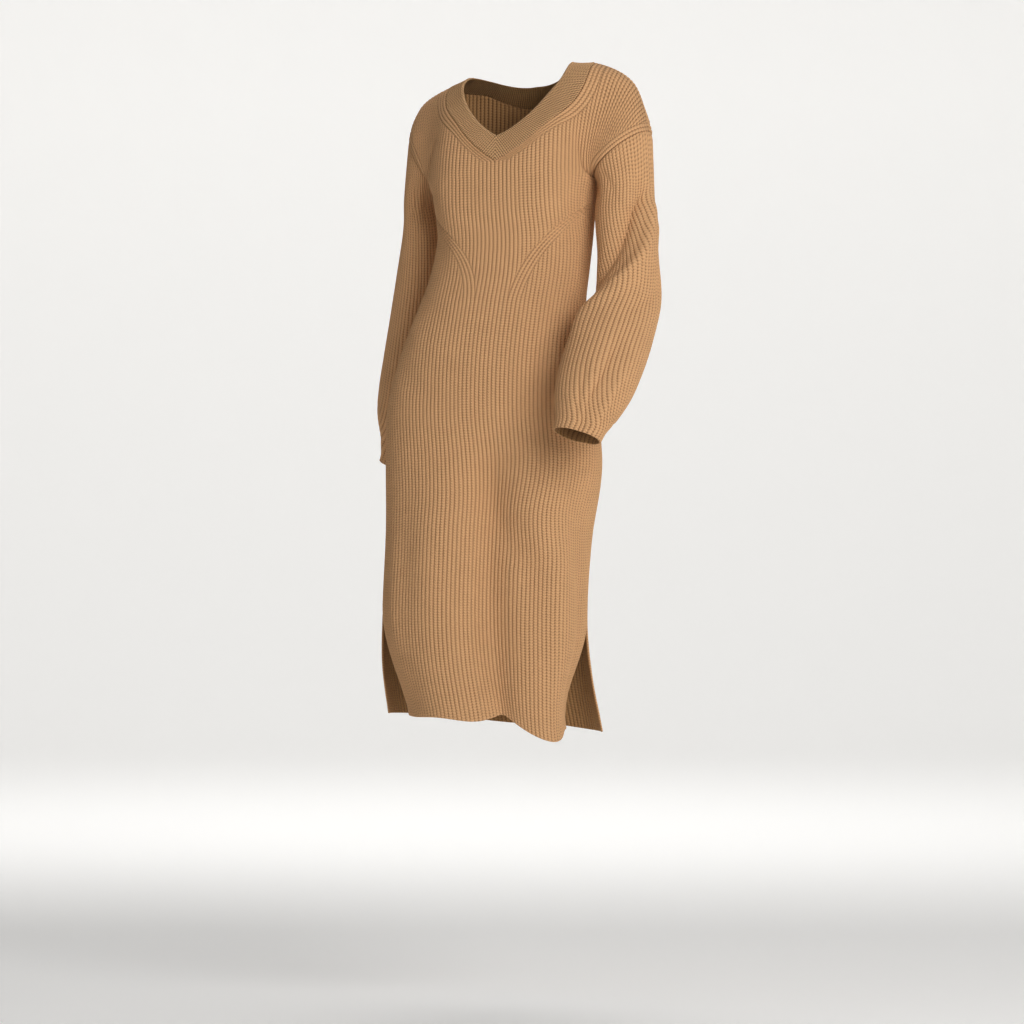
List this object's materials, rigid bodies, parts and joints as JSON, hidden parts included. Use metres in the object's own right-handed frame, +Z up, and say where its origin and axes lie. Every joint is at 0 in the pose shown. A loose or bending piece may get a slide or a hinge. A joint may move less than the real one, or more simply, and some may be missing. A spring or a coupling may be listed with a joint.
{
  "type": "sweater dress",
  "caption": "Long ribbed knit sweater dress, standing hollow as worn, with a banded V neck, dropped shoulders, full sleeves narrowing to the wrist and side slits at the hem.",
  "frame": {"origin": "neck base: midway between the two shoulder seams at the neck, where the wearer's shoulders carry the dress", "axes": "+Z up, -Y the way the front faces, +X towards the wearer's left"},
  "size_m": [0.5748, 0.3945, 1.1498],
  "materials": {
    "front_knit": "soft matt rib knit",
    "back_knit": "soft matt rib knit",
    "sleeve_left_knit": "soft matt rib knit",
    "sleeve_right_knit": "soft matt rib knit",
    "neckband_knit": "soft matt rib knit"
  },
  "bodies": {
    "root": {"front": "front_knit", "back": "back_knit", "sleeve_left": "sleeve_left_knit", "sleeve_right": "sleeve_right_knit", "neckband": "neckband_knit"}
  },
  "joints": []
}
